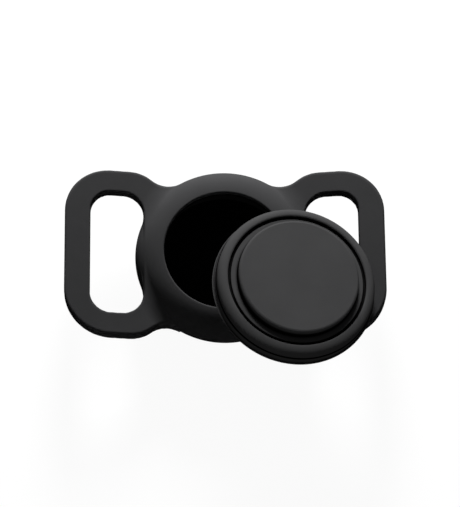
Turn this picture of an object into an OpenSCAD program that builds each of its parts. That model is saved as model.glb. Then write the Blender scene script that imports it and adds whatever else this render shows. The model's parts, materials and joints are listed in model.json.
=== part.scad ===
// Tracker tag holder: a soft holder with two strap loops and a pocket, and a hard round
// capsule that carries a coin tracker. The capsule is shown taken out and lying on the holder.
// Millimetres. The holder lies on its back: z = 0 is the flat of its back, and the pocket
// opens towards +Z. The strap runs along X.

/* [Tag] */
// Width of the coin tracker
tag_d = 31.9; // [31:0.1:32.5]
// Height of the coin tracker
tag_t = 8; // [7.5:0.1:8.5]
// Wall of the tracker's plastic case
tag_wall = 0.9; // [0.7:0.1:1]
// How far the case's floor reaches in round the battery cover
mouth_ledge = 2.35; // [1.8:0.05:2.8]
// Thickness of the steel battery cover
cover_t = 0.4; // [0.3:0.1:0.5]
// Thickness of the circuit board
board_t = 0.6; // [0.4:0.1:0.8]
// Gap between the circuit board and the case's wall
board_inset = 1.45; // [1.2:0.05:2]

/* [Capsule] */
// Height of the boss above the ring round it
boss_h = 2.3; // [2:0.1:2.8]
// Radius of the boss's edge
boss_edge_r = 0.7; // [0.2:0.1:0.8]
// Width of the groove between the boss and the ring
groove_w = 2.2; // [2:0.05:2.6]
// Depth of the groove below the ring
groove_d = 0.4; // [0.2:0.05:0.6]
// Width of the narrow trench between the groove's floor and the ring
trench_w = 0.65; // [0.4:0.05:0.9]
// Depth of the trench below the ring
trench_d = 1.2; // [1:0.1:1.4]
// Radius of the ring's outer edge
ring_round = 1.9; // [1.2:0.1:2]
// Width of the flat on the ring's top
ring_flat = 0.05; // [0.05:0.05:0.6]
// Radius of the ring's inner edge
ring_edge_r = 0.45; // [0.2:0.05:0.5]
// Depth of the parting line below the ring
parting_h = 2.7; // [2.5:0.1:2.9]
// Height of the parting gap
parting_gap = 0.3; // [0.1:0.05:0.4]
// How far the rear shell's side band stands out past the ring
band_step = 0.15; // [0.05:0.05:0.3]
// How far the thin rim stands out past the band
rim_step = 0.5; // [0.3:0.05:0.7]
// Thickness of the rim
rim_t = 0.4; // [0.3:0.1:0.6]
// Width of the capsule's flat back
back_flat_d = 18; // [14:0.5:20]
// Wall of the front cover over the boss
front_wall = 1.3; // [1:0.1:1.5]
// Wall under the trench
groove_wall = 1; // [0.8:0.1:1.1]
// Wall of the boss's side
boss_wall = 1.1; // [0.9:0.1:1.2]
// Wall of the rear shell's back
back_wall = 1.1; // [0.9:0.1:1.2]
// Wall of the rear shell round the tracker
shell_wall = 1.3; // [1:0.1:1.5]
// Wall of the rear shell's band
band_wall = 1.9; // [1.6:0.1:2.2]
// Wall of the cover's spigot
spigot_wall = 1.2; // [1:0.1:1.5]
// How far the cover's spigot reaches below the ring
spigot_h = 4.4; // [4:0.1:4.6]
// Thickness of the seal between the two halves
seal_t = 0.5; // [0.3:0.1:0.7]

/* [Holder housing] */
// Wall of the housing round the capsule's rim
housing_wall = 1.9; // [1.5:0.05:3]
// Gap between the boss and the round opening that it shows through
opening_gap = 0.3; // [0.1:0.05:0.8]
// Thickness of the floor under the capsule
floor_t = 1.65; // [1.4:0.05:3]
// Height of the opening's edge above the widest circle
dome_h = 5.6; // [5.3:0.1:6.2]
// How far the dome's curve would run on past the opening's edge
dome_over = 0.65; // [0.3:0.05:1.2]
// Radius of the side, from the widest circle down to the flank
side_r = 4.5; // [3.5:0.1:5.5]
// Slope of the flank below the side, from the vertical
flank_a = 38; // [30:1:40]
// Radius round the flat of the back
base_round = 3; // [2:0.1:3.6]
// Radius of the opening's edge
mouth_round = 0.4; // [0.1:0.1:0.6]

/* [Strap loops] */
// Width across both strap loops
overall_w = 78; // [76:1:84]
// Height of a strap loop
loop_h = 42.5; // [41.6:0.1:45]
// Thickness of a strap loop
loop_t = 3.3; // [2.6:0.1:3.8]
// Radius along a strap loop's outer front edge
loop_edge_r = 0.7; // [0.3:0.1:1.2]
// Radius along the front edge of its slot
slot_edge_r = 0.4; // [0.2:0.1:0.8]
// Radius along the back edges of a strap loop
loop_back_r = 0.3; // [0.2:0.1:1.2]
// Angle at which the loops rise towards the strap
loop_rise_a = 10.6; // [6:0.1:12]
// Distance from the centre at which the loops leave the widest circle's level
loop_root_x = 13; // [11:0.5:15]
// Radius of the two corners at a loop's end
loop_end_r = 11.2; // [8:0.1:12]
// Radius of the two shoulders next to the housing
loop_shoulder_r = 8.8; // [8:0.2:10]
// How far past the housing's side the shoulders' centres lie
shoulder_out = 1.45; // [0.8:0.05:2.4]
// Radius of the hollow between a shoulder and the housing
waist_r = 6.2; // [5:0.1:7]
// Width of the bar at a loop's end
end_bar_w = 6.2; // [5:0.1:7]
// Width of the two bars beside the strap
side_bar_w = 5.65; // [5:0.05:6.4]
// Radius of the slot's corners
slot_r = 5.1; // [3:0.1:5.6]
// How far the slot's corners reach in past the housing's side
slot_in = 1.95; // [1:0.05:2.4]

/* [Capsule's place] */
// Place of the ring's centre along the strap
capsule_x = 16.8; // [16:0.1:18]
// Place of the ring's centre across the strap
capsule_y = -11.6; // [-12:0.1:-10]
// Height of the back's plane over the opening's edge, where the capsule leans on it
rest_gap = 0.14; // [0.1:0.02:3]
// Place across the strap where it leans on the edge
rest_y = -1.6; // [-2:0.1:-1.2]
// Lean of the capsule about X
tip_x_a = -4.9; // [-6:0.1:-4]
// Lean of the capsule about Y
tip_y_a = 8.4; // [7:0.1:9]

/* [Hidden] */
// Facets of a turned shape and of a cylinder in the preview
turn_facets = 96;
// Steps along a rounded stretch of an outline
arc_steps = 8;
// Steps along the dome, the capsule's back and the tracker's sides
curve_steps = 16;
// Steps along a loop's end corner
corner_steps = 14;
// Steps along a quarter of a loop's edge
edge_steps = 3;
// How far a cut runs past a face
overrun = 1;
// Gap between the capsule and the pocket
pocket_fit = 0.15;
// Gap between the spigot and the rear shell
spigot_fit = 0.05;
// Gap between the seal and its seat
seal_fit = 0.05;
// Gap between the tracker and the capsule
tag_fit = 0.1;
// Gap between the tracker's shoulder and the wall under the trench
shoulder_gap = 0.15;
// How far the seated boss stands out of the opening
boss_proud = 0.3;
// How square the tracker's rounded side is, where an ellipse has a share of 2
pebble_share = 2.3;
// Share of the tracker's height that lies below its widest circle
tag_low_share = 0.475;

// Height of the tracker's rounded top or back over its widest circle
function pebble_z(r, across, rise) = rise * pow(1 - pow(r / across, pebble_share), 1 / pebble_share);

// Radii, from the tracker outwards
tag_r = tag_d / 2;
cavity_r = tag_r + 2 * tag_fit;
back_r = cavity_r + shell_wall;
spigot_r = cavity_r + spigot_wall;
collar_r = spigot_r + spigot_fit;
band_r = collar_r + band_wall;
rim_r = band_r + rim_step;
housing_r = rim_r + pocket_fit + housing_wall;
ring_out_r = band_r - band_step;
ring_in_r = ring_out_r - ring_round - ring_flat - ring_edge_r;
boss_r = ring_in_r - groove_w;
opening_r = boss_r + opening_gap;
back_flat_r = back_flat_d / 2;
// Depths inside the capsule, below the ring
ceiling_h = boss_h - front_wall;
groove_low_h = trench_d + groove_wall;
ledge_h = spigot_h + seal_t + 2 * seal_fit;
rim_h = ledge_h;
rim_low_h = rim_h + rim_t / 2;
tag_low_t = tag_t * tag_low_share;
tag_high_t = tag_t - tag_low_t;
tag_mid_h = groove_low_h + shoulder_gap + pebble_z(boss_r - boss_wall, tag_r, tag_high_t);
floor_h = tag_mid_h + tag_low_t + tag_fit;
back_h = floor_h + back_wall;
// Heights of the holder: the ring of the seated capsule, the opening's edge and the widest circle
ring_z = floor_t + pocket_fit + back_h;
top_z = ring_z + boss_h - boss_proud;
widest_h = top_z - dome_h;
// The capsule leans on the opening's edge: the plane of its back passes just over one point there
axis = [cos(tip_x_a) * sin(tip_y_a), -sin(tip_x_a), cos(tip_x_a) * cos(tip_y_a)];
rest_x = opening_r + mouth_round;
capsule_z = top_z + rest_gap
    + (back_h + axis.x * (rest_x - capsule_x) + axis.y * (rest_y - capsule_y)) / axis.z;

function arc(centre, r, a0, a1, n) =
    [for (i = [0 : n]) let (a = a0 + (a1 - a0) * i / n) centre + r * [cos(a), sin(a)]];
function oval(centre, rx, ry, a0, a1, n) =
    [for (i = [0 : n]) let (a = a0 + (a1 - a0) * i / n) centre + [rx * cos(a), ry * sin(a)]];
function turned_left(v) = [-v.y, v.x];

// Where a circle that touches two others from outside has its centre
function touching(c1, r1, c2, r2) =
    let (span = norm(c2 - c1), along = (r1 * r1 - r2 * r2 + span * span) / (2 * span),
         away = sqrt(r1 * r1 - along * along), dir = (c2 - c1) / span)
    c1 + along * dir + away * turned_left(dir);

module turned(points) {
    rotate_extrude($fn = turn_facets) polygon(points);
}

// Holder: the back's edge, the top of the flank, and the dome's centre and rise
sole_z = base_round - base_round * sin(flank_a);
flank_top = [housing_r - side_r + side_r * cos(flank_a), widest_h - side_r * sin(flank_a)];
sole_r = flank_top.x - (flank_top.y - sole_z) * tan(flank_a) - base_round * cos(flank_a);
dome_in_r = opening_r - dome_over;
dome_run = housing_r - dome_in_r;
dome_top_a = acos(dome_over / dome_run);
dome_rise = dome_h / sin(dome_top_a);

module housing_solid() {
    turned(concat(
        [[0, 0]],
        arc([sole_r, base_round], base_round, -90, -flank_a, arc_steps),
        arc([housing_r - side_r, widest_h], side_r, -flank_a, 0, arc_steps),
        oval([dome_in_r, widest_h], dome_run, dome_rise, dome_top_a / curve_steps, dome_top_a,
             curve_steps - 1),
        [[0, top_z]]));
}

// The pocket follows the seated capsule: mouth, lip bead in the groove, ring, rim and back
module pocket() {
    bead_r = ring_in_r - pocket_fit;
    bead_z = ring_z - groove_d + pocket_fit;
    round_r = ring_round + pocket_fit;
    turned(concat(
        [[0, top_z + overrun], [opening_r + mouth_round, top_z + overrun]],
        arc([opening_r + mouth_round, top_z - mouth_round], mouth_round, 90, 180, arc_steps),
        [[opening_r, bead_z], [bead_r, bead_z], [bead_r, ring_z + pocket_fit]],
        arc([ring_out_r - ring_round, ring_z - ring_round], round_r, 90, 0, arc_steps),
        [[rim_r + pocket_fit, ring_z - parting_h], [rim_r + pocket_fit, ring_z - rim_low_h - pocket_fit]],
        oval([back_flat_r, ring_z - rim_low_h], back_r + pocket_fit - back_flat_r,
             back_h - rim_low_h + pocket_fit, -90 / curve_steps, -90, curve_steps - 1),
        [[0, ring_z - back_h - pocket_fit]]));
}

// Plan of a loop, from the middle of its end to the middle of the housing, upper half
end_x = overall_w / 2;
half_h = loop_h / 2;
slot_out_x = end_x - end_bar_w;
slot_top = half_h - side_bar_w;
slot_in_x = housing_r - slot_in;
shoulder = [housing_r + shoulder_out, half_h - loop_shoulder_r];
waist = touching([0, 0], housing_r + waist_r, shoulder, loop_shoulder_r + waist_r);
shoulder_a = atan2(waist.y - shoulder.y, waist.x - shoulder.x);
waist_low_a = atan2(shoulder.y - waist.y, shoulder.x - waist.x);
waist_a = atan2(-waist.y, -waist.x);
outer_plan = concat(
    [[end_x, 0]],
    arc([end_x - loop_end_r, half_h - loop_end_r], loop_end_r, 0, 90, corner_steps),
    arc(shoulder, loop_shoulder_r, 90, shoulder_a, arc_steps),
    arc(waist, waist_r, waist_low_a, waist_a, arc_steps),
    [[-housing_r * cos(waist_a), 0]]);
slot_corner_y = slot_top - slot_r;
slot_plan = concat(
    [[slot_out_x, 0]],
    arc([slot_out_x - slot_r, slot_corner_y], slot_r, 0, 90, corner_steps),
    arc([slot_in_x + slot_r, slot_corner_y], slot_r, 90, 180, 2 * arc_steps + 1),
    [[slot_in_x, 0]]);

// Section of a loop's bar between its slot side and its outer side: sideways share, inset, height
function bar_section(t) = concat(
    [for (i = [0 : edge_steps]) let (a = 90 * i / edge_steps)
        [1, -loop_edge_r * (1 - cos(a)), t - loop_edge_r * (1 - sin(a))]],
    [for (i = [0 : edge_steps]) let (a = 90 * i / edge_steps)
        [0, slot_edge_r * (1 - sin(a)), t - slot_edge_r * (1 - cos(a))]],
    [for (i = [0 : edge_steps]) let (a = 90 * i / edge_steps)
        [0, loop_back_r * (1 - cos(a)), -t + loop_back_r * (1 - sin(a))]],
    [for (i = [0 : edge_steps]) let (a = 90 * i / edge_steps)
        [1, -loop_back_r * (1 - sin(a)), -t + loop_back_r * (1 - cos(a))]]);
function bar_point(from, to, s) =
    let (dir = (to - from) / norm(to - from), p = from + (to - from) * s[0] + dir * s[1])
    [p.x, p.y, widest_h + (p.x - loop_root_x) * tan(loop_rise_a) + s[2]];
function flipped(points) = [for (p = points) [p.x, -p.y]];
function backwards(points) = [for (i = [len(points) - 2 : -1 : 1]) points[i]];

module strap_loop() {
    section = bar_section(loop_t / 2 / cos(loop_rise_a));
    outer = concat(outer_plan, backwards(flipped(outer_plan)));
    inner = concat(slot_plan, backwards(flipped(slot_plan)));
    rows = len(outer);
    cols = len(section);
    points = [for (i = [0 : rows - 1]) for (s = section) bar_point(inner[i], outer[i], s)];
    function spot(i, j) = (i % rows) * cols + j % cols;
    faces = [for (i = [0 : rows - 1]) for (j = [0 : cols - 1]) for (half = [0, 1])
        half == 0 ? [spot(i, j), spot(i, j + 1), spot(i + 1, j + 1)]
                  : [spot(i, j), spot(i + 1, j + 1), spot(i + 1, j)]];
    polyhedron(points, faces);
}

module holder_body() {
    color([0.16, 0.16, 0.17]) difference() {
        union() {
            housing_solid();
            strap_loop();
            mirror([1, 0, 0]) strap_loop();
        }
        pocket();
    }
}

// Capsule. Its pieces are drawn with z = 0 at the ring's top, then leaned into place.
module in_place() {
    translate([capsule_x, capsule_y, capsule_z]) rotate([tip_x_a, tip_y_a, 0]) children();
}

// Rib under the boss that keeps the tracker from rattling
rib_out_r = 10;
rib_t = 1;
rib_gap = 0.13;
rib_in_r = rib_out_r - rib_t;
rib_low_h = tag_mid_h - pebble_z(rib_in_r, tag_r, tag_high_t) - rib_gap;

module front_cover() {
    color([0.2, 0.2, 0.21]) in_place() turned(concat(
        [[0, boss_h]],
        arc([boss_r - boss_edge_r, boss_h - boss_edge_r], boss_edge_r, 90, 0, arc_steps),
        [[boss_r, -groove_d], [ring_in_r - trench_w, -groove_d], [ring_in_r - trench_w, -trench_d],
         [ring_in_r, -trench_d]],
        arc([ring_in_r + ring_edge_r, -ring_edge_r], ring_edge_r, 180, 90, arc_steps),
        arc([ring_out_r - ring_round, -ring_round], ring_round, 90, 0, arc_steps),
        [[ring_out_r, -parting_h], [spigot_r, -parting_h], [spigot_r, -spigot_h],
         [cavity_r, -spigot_h], [cavity_r, -groove_low_h], [boss_r - boss_wall, -groove_low_h],
         [boss_r - boss_wall, ceiling_h], [rib_out_r, ceiling_h], [rib_out_r, -rib_low_h],
         [rib_in_r, -rib_low_h], [rib_in_r, ceiling_h], [0, ceiling_h]]));
}

module rear_shell() {
    band_low_h = rim_h - rim_t / 2;
    cavity_h = ledge_h + tag_fit;
    color([0.17, 0.17, 0.18]) in_place() turned(concat(
        [[0, -back_h]],
        oval([back_flat_r, -rim_low_h], back_r - back_flat_r, back_h - rim_low_h, -90, 0, curve_steps),
        arc([rim_r - rim_t / 2, -rim_h], rim_t / 2, -90, 90, arc_steps),
        [[band_r, -band_low_h], [band_r, -parting_h - parting_gap], [collar_r, -parting_h - parting_gap],
         [collar_r, -ledge_h], [cavity_r, -ledge_h]],
        oval([back_flat_r - back_wall, -cavity_h], cavity_r - back_flat_r + back_wall,
             floor_h - cavity_h, 0, -90, curve_steps),
        [[0, -floor_h]]));
}

module seal_ring() {
    color([0.4, 0.4, 0.42]) in_place() translate([0, 0, -ledge_h + seal_fit]) difference() {
        cylinder(h = seal_t, r = spigot_r, $fn = turn_facets);
        translate([0, 0, -overrun])
            cylinder(h = seal_t + 2 * overrun, r = cavity_r + seal_fit, $fn = turn_facets);
    }
}

// Tracker. Its sides are rounded like a pebble, above and below its widest circle.
function pebble_side(r0, r1, across, rise, n) =
    [for (i = [0 : n]) let (r = r0 + (r1 - r0) * i / n) [r, pebble_z(r, across, rise)]];
function pebble_turn(across, rise, a0, a1, n) =
    [for (i = [0 : n]) let (a = a0 + (a1 - a0) * i / n)
        [across * pow(cos(a), 2 / pebble_share),
         sign(sin(a)) * rise * pow(abs(sin(a)), 2 / pebble_share)]];
function raised(points, z) = [for (p = points) [p.x, p.y + z]];
function lowered_side(points) = [for (p = points) [p.x, -p.y]];

in_case_r = tag_r - tag_wall;
in_case_t = tag_high_t - tag_wall;
case_mouth_r = in_case_r - mouth_ledge;
cover_r = case_mouth_r - tag_fit;
// Angle on the tracker's lower side at which the steel cover's seat begins
mouth_a = acos(pow(case_mouth_r / tag_r, pebble_share / 2));
in_mouth_a = acos(pow(case_mouth_r / in_case_r, pebble_share / 2));

module in_tag() {
    in_place() translate([0, 0, -tag_mid_h]) children();
}

module tag_case() {
    color([0.92, 0.92, 0.9]) in_tag() turned(concat(
        [[0, tag_high_t]],
        pebble_turn(tag_r, tag_high_t, 90, 0, curve_steps),
        pebble_turn(tag_r, tag_low_t, -mouth_a / curve_steps, -mouth_a, curve_steps - 1),
        pebble_turn(in_case_r, tag_low_t - tag_wall, -in_mouth_a, -in_mouth_a / curve_steps,
                    curve_steps - 1),
        pebble_turn(in_case_r, in_case_t, 0, 90, curve_steps)));
}

skirt_h = 0.9;
module tag_battery_cover() {
    outer = pebble_side(0, cover_r, tag_r, tag_low_t, curve_steps);
    inner = pebble_side(cover_r - cover_t, 0, tag_r, tag_low_t, curve_steps);
    rim_z = -pebble_z(cover_r, tag_r, tag_low_t) + cover_t + skirt_h;
    color([0.78, 0.79, 0.8]) in_tag() turned(concat(
        lowered_side(outer),
        [[cover_r, rim_z], [cover_r - cover_t, rim_z]],
        raised(lowered_side(inner), cover_t)));
}

// Sounder: a magnet in the middle and a coil round it, both hung from the case's front
magnet_d = 6;
sounder_t = 1.7;
sounder_gap = 0.3;
coil_wall = 1.5;
coil_in_r = magnet_d / 2 + sounder_gap;
coil_out_r = coil_in_r + coil_wall;

// Frame round the cell, inside the battery cover's skirt, that carries the board
carrier_out_gap = 0.75;
carrier_wall = 1.3;
carrier_gap = 0.15;
carrier_lift = 0.5;
carrier_flange_t = 0.7;
carrier_out_r = cover_r - cover_t - carrier_out_gap;
carrier_in_r = carrier_out_r - carrier_wall;

// Levels inside the tracker, from its widest circle: the board and its chips lie under the case's
// shoulder, and the cell fills the room between the board's contacts and the battery cover
cell_gap = 0.1;
contact_t = 0.4;
board_gap = 0.035;
hole_gap = 0.4;
board_r = in_case_r - board_inset;
board_hole_r = coil_out_r + hole_gap;
chip_w = 3.6;
chip_t = 0.7;
chip_gap = 0.06;
chip_ring_r = (board_hole_r + board_r) / 2;
chip_reach_r = norm([chip_ring_r + chip_w / 2, chip_w / 2]);
board_top_z = min(pebble_z(board_r, in_case_r, in_case_t) - board_gap,
                  pebble_z(chip_reach_r, in_case_r, in_case_t) - chip_gap - chip_t);
board_z = board_top_z - board_t;
cell_r = carrier_in_r - carrier_gap;
cell_z = -pebble_z(cell_r, tag_r, tag_low_t) + cover_t + cell_gap;
cell_t = board_z - contact_t - cell_gap - cell_z;

module coin_cell() {
    lip = 0.4;
    color([0.7, 0.71, 0.72]) in_tag() translate([0, 0, cell_z]) turned([[0, 0], [cell_r, 0],
        [cell_r, cell_t - lip], [cell_r - lip, cell_t], [0, cell_t]]);
}

module tag_carrier() {
    color([0.85, 0.85, 0.83]) in_tag() turned([
        [carrier_in_r, cell_z + carrier_lift], [carrier_out_r, cell_z + carrier_lift],
        [carrier_out_r, board_z - carrier_flange_t], [board_r, board_z - carrier_flange_t],
        [board_r, board_z], [carrier_in_r, board_z]]);
}

contact_count = 3;
contact_w = 2;
contact_len = 3;
contact_gap = 0.02;
contact_out_gap = 1.95;
module battery_contacts() {
    color([0.85, 0.7, 0.35]) in_tag() for (i = [0 : contact_count - 1])
        rotate([0, 0, 360 * i / contact_count])
            translate([carrier_in_r - contact_out_gap - contact_len, -contact_w / 2,
                       cell_z + cell_t + contact_gap])
                cube([contact_len, contact_w, contact_t + cell_gap - 2 * contact_gap]);
}

module tag_board() {
    color([0.1, 0.4, 0.25]) in_tag() translate([0, 0, board_z]) difference() {
        cylinder(h = board_t, r = board_r, $fn = turn_facets);
        translate([0, 0, -overrun])
            cylinder(h = board_t + 2 * overrun, r = board_hole_r, $fn = turn_facets);
    }
}

// Chips stand round the board's middle hole. The first is the largest, and the shares give the
// length, width and height of each.
chip_angles = [20, 140, 215, 300];
chip_shares = [[1, 1, 1], [0.85, 0.65, 0.85], [0.65, 0.65, 0.7], [0.9, 0.7, 0.85]];
module tag_chips() {
    color([0.15, 0.15, 0.16]) in_tag() for (i = [0 : len(chip_angles) - 1]) let (share = chip_shares[i])
        rotate([0, 0, chip_angles[i]])
            translate([chip_ring_r - chip_w * share[0] / 2, -chip_w * share[1] / 2, board_top_z])
                cube([chip_w * share[0], chip_w * share[1], chip_t * share[2]]);
}

module on_case_front() {
    in_tag() translate([0, 0, in_case_t - sounder_t]) children();
}

module sounder_magnet() {
    color([0.6, 0.6, 0.62]) on_case_front()
        cylinder(h = sounder_t - 2 * tag_fit, r = magnet_d / 2, $fn = turn_facets);
}

module sounder_coil() {
    color([0.75, 0.4, 0.2]) on_case_front() difference() {
        cylinder(h = sounder_t - 2 * tag_fit, r = coil_out_r, $fn = turn_facets);
        translate([0, 0, -overrun]) cylinder(h = sounder_t + 2 * overrun, r = coil_in_r, $fn = turn_facets);
    }
}

holder_body();
front_cover();
rear_shell();
seal_ring();
tag_case();
tag_battery_cover();
tag_carrier();
coin_cell();
battery_contacts();
tag_board();
tag_chips();
sounder_coil();
sounder_magnet();
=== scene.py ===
"""Tracker tag holder: a soft black holder with two strap loops and a round pocket, and the hard
black capsule for a coin tracker, taken out and lying on it. Metres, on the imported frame. Sizes
and outlines are in millimetres until a piece is made from them."""

import bpy
import numpy as np
from mathutils import Euler, Matrix, Vector
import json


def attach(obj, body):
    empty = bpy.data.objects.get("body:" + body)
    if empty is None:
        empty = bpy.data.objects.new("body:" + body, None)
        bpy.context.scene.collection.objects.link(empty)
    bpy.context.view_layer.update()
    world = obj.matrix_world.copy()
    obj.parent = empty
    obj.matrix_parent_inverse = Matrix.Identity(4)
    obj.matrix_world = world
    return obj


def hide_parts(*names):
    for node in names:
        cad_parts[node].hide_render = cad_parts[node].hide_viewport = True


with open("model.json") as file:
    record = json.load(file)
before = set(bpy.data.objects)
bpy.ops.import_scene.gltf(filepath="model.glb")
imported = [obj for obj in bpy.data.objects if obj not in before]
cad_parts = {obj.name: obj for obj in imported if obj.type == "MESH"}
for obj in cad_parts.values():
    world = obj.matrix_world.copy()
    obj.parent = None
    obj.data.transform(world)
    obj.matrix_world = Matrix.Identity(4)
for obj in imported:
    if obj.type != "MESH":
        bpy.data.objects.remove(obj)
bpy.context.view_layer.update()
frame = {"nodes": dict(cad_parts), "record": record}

MM = 0.001
TINY = 1e-6  # keeps divisions and grids clear of zero, and marks a point as on the axis
scene = bpy.context.scene
scene.view_settings.view_transform = "Standard"

# Camera

CAMERA_AZ = np.radians(-5.59)
CAMERA_EL = np.radians(69.81)
CAMERA_ROLL = np.radians(5.36)
CAMERA_TARGET = Vector((1.35, 1.0, 8.1)) * MM
CAMERA_DISTANCE = 656 * MM
CAMERA_LENS = 190.15  # focal length in millimetres
SENSOR_W = 36  # along the longer side of the picture, which is 460 by 507 pixels
CLIP_START, CLIP_END = 0.01, 10  # in metres

# Sizes of the tracker

TAG_R = 15.95  # widest circle
TAG_T = 8  # height
TAG_LOW_SHARE = 0.475  # share of its height that lies below the widest circle
TAG_WALL = 0.9  # wall of the plastic case
TAG_FIT = 0.1  # gap under the tracker and round its cover, and half the gap at its side
PEBBLE = 2.3  # how square its side is, where an ellipse has 2
COVER_R = 12.6  # steel battery cover
COVER_T = 0.4  # thickness of its steel
COVER_BEND = 0.2  # width of the bend at its edge
BEND_OUT_RISE, BEND_IN_RISE = 0.03, 0.05  # rise over that bend, outside and inside
SKIRT_H = 0.9  # height of its skirt

# Sizes of the capsule, with depths counted from the top of its ring

SHELL_WALL = 1.3  # rear shell round the tracker
BACK_WALL = 1.1  # rear shell's back
BACK_FLAT_R = 9  # flat of the back
BAND_WALL = 1.9  # rear shell's side band
RIM_STEP = 0.5  # from the band out to the thin rim
RIM_T = 0.4  # thickness of the rim
BAND_STEP = 0.15  # from the front ring out to the band
RING_ROUND = 1.9  # rounding of the ring's outer edge
RING_FLAT = 0.05  # flat on the ring's top
RING_EDGE_R = 0.45  # rounding of the ring's inner edge
GROOVE_W, GROOVE_D = 2.2, 0.4  # groove between boss and ring
TRENCH_W, TRENCH_D = 0.65, 1.2  # narrow trench next to the ring
GROOVE_WALL = 1  # wall under the trench
BOSS_H = 2.3  # height of the boss over the ring
BOSS_EDGE_R = 0.7  # rounding of its edge
BOSS_WALL = 1.1  # wall of its side
FRONT_WALL = 1.3  # wall of its front
PARTING_H = 2.7  # depth of the parting line
PARTING_GAP = 0.3  # height of the gap there
SPIGOT_WALL = 1.2  # front cover's spigot
SPIGOT_H = 4.4  # depth of the spigot's end
SPIGOT_FIT = 0.05  # gap between spigot and collar
SEAL_T = 0.5  # gasket
SEAL_FIT = 0.05  # gap between the gasket and its seat
RIB_R, RIB_T, RIB_LOW_H = 10, 1, 1.127  # rib under the boss: radius, thickness and depth
TAG_MID_H = 4.924  # depth of the tracker's widest circle

# Heights, radii and depths that follow for the tracker and the capsule

TAG_LOW_T = TAG_T * TAG_LOW_SHARE
TAG_HIGH_T = TAG_T - TAG_LOW_T
CAVITY_R = TAG_R + 2 * TAG_FIT
BACK_R = CAVITY_R + SHELL_WALL
SPIGOT_R = CAVITY_R + SPIGOT_WALL
COLLAR_R = SPIGOT_R + SPIGOT_FIT
BAND_R = COLLAR_R + BAND_WALL
RIM_R = BAND_R + RIM_STEP
RING_OUT_R = BAND_R - BAND_STEP
RING_IN_R = RING_OUT_R - RING_ROUND - RING_FLAT - RING_EDGE_R
BOSS_R = RING_IN_R - GROOVE_W
BOSS_IN_R = BOSS_R - BOSS_WALL
CEILING_H = BOSS_H - FRONT_WALL
GROOVE_LOW_H = TRENCH_D + GROOVE_WALL
LEDGE_H = SPIGOT_H + SEAL_T + 2 * SEAL_FIT
RIM_H = LEDGE_H
RIM_LOW_H = RIM_H + RIM_T / 2
FLOOR_H = TAG_MID_H + TAG_LOW_T + TAG_FIT
BACK_H = FLOOR_H + BACK_WALL

# Sizes of the holder

HOUSING_WALL = 1.9  # wall round the capsule's rim
POCKET_FIT = 0.15  # gap between the seated capsule and the pocket
OPENING_GAP = 0.3  # gap between the seated boss and the opening
BOSS_PROUD = 0.3  # how far the seated boss stands out of the opening
FLOOR_T = 1.65  # floor under the seated capsule
DOME_H = 5.6  # height of the opening's edge over the widest circle
DOME_OVER = 0.65  # how far the dome's centre lies inside the opening's edge
SIDE_R = 4.5  # rounding from the widest circle down to the flank
FLANK_A = 38  # slope of the flank from the vertical, in degrees
BASE_R = 3  # rounding round the flat of the back
MOUTH_R = 0.4  # rounding of the opening's edge
OVERALL_W = 78  # width over both loops
LOOP_H, LOOP_T = 42.5, 3.3  # height and thickness of a loop
LOOP_EDGE_R = 0.7  # rounding of its outer front edge
SLOT_EDGE_R = 0.4  # rounding of the front edge round its slot
LOOP_BACK_R = 0.3  # rounding of its back edges
LOOP_RISE = np.radians(10.6)  # how steeply it rises
LOOP_ROOT_X = 13  # where it leaves the widest circle's level
END_R = 11.2  # corners at its end
SHOULDER_R = 8.8  # shoulders next to the housing
SHOULDER_OUT = 1.45  # from the housing's side out to the shoulders' centres
WAIST_R = 6.2  # hollow between a shoulder and the housing
END_BAR, SIDE_BAR = 6.2, 5.65  # widths of the bar at its end and of those beside the strap
SLOT_R = 5.1  # corners of the slot
SLOT_IN = 1.95  # from the housing's side in to the slot's end
ROOT_BLEND = 4.5  # reach of the fillet between loops and housing
ROOT_BLEND_X = (10.9, 15.5)  # stretch along the strap over which that fillet sets in

# Radii, heights and places that follow for the holder

HOUSING_R = RIM_R + POCKET_FIT + HOUSING_WALL
OPENING_R = BOSS_R + OPENING_GAP
RING_Z = FLOOR_T + POCKET_FIT + BACK_H
TOP_Z = RING_Z + BOSS_H - BOSS_PROUD
WIDEST_Z = TOP_Z - DOME_H
DOME_IN_R = OPENING_R - DOME_OVER
DOME_RUN = HOUSING_R - DOME_IN_R
DOME_TOP_A = np.degrees(np.arccos(DOME_OVER / DOME_RUN))
DOME_RISE = DOME_H / np.sin(np.radians(DOME_TOP_A))
END_X = OVERALL_W / 2
LOOP_TOP = LOOP_H / 2
SHOULDER_X = HOUSING_R + SHOULDER_OUT
SLOT_IN_X = HOUSING_R - SLOT_IN

# Roundings of the other edges and inner corners, in the order of their outlines

LIP_ROUNDS = (0.3, 0.18, 0.18)
POCKET_WALL_ROUNDS = (0.5, 0.3)
GROOVE_ROUNDS = (0.1, 0.3, 0.1, 0.1)
COVER_INSIDE_ROUNDS = (0.12, 0.1, 0.15, 0.15, 0.3, 0.3, 0.4, 0.3, 0.2, 0.2, 0.3)
BAND_ROUNDS = (0.1, 0.12, 0.15, 0.12)
SEAL_ROUNDS = (0.16, 0.16, 0.16, 0.16)
CASE_MOUTH_ROUNDS = (0.12, 0.12)
SKIRT_ROUNDS = (0.18, 0.12, 0.12, 0.1)

# Circles of vertices in the flat middles of the boss, the capsule's back and the pocket's floor

BOSS_MID_R, BACK_MID_R, POCKET_MID_R = 7, 4, 4.5

# The holder's net and the tables behind it

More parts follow.
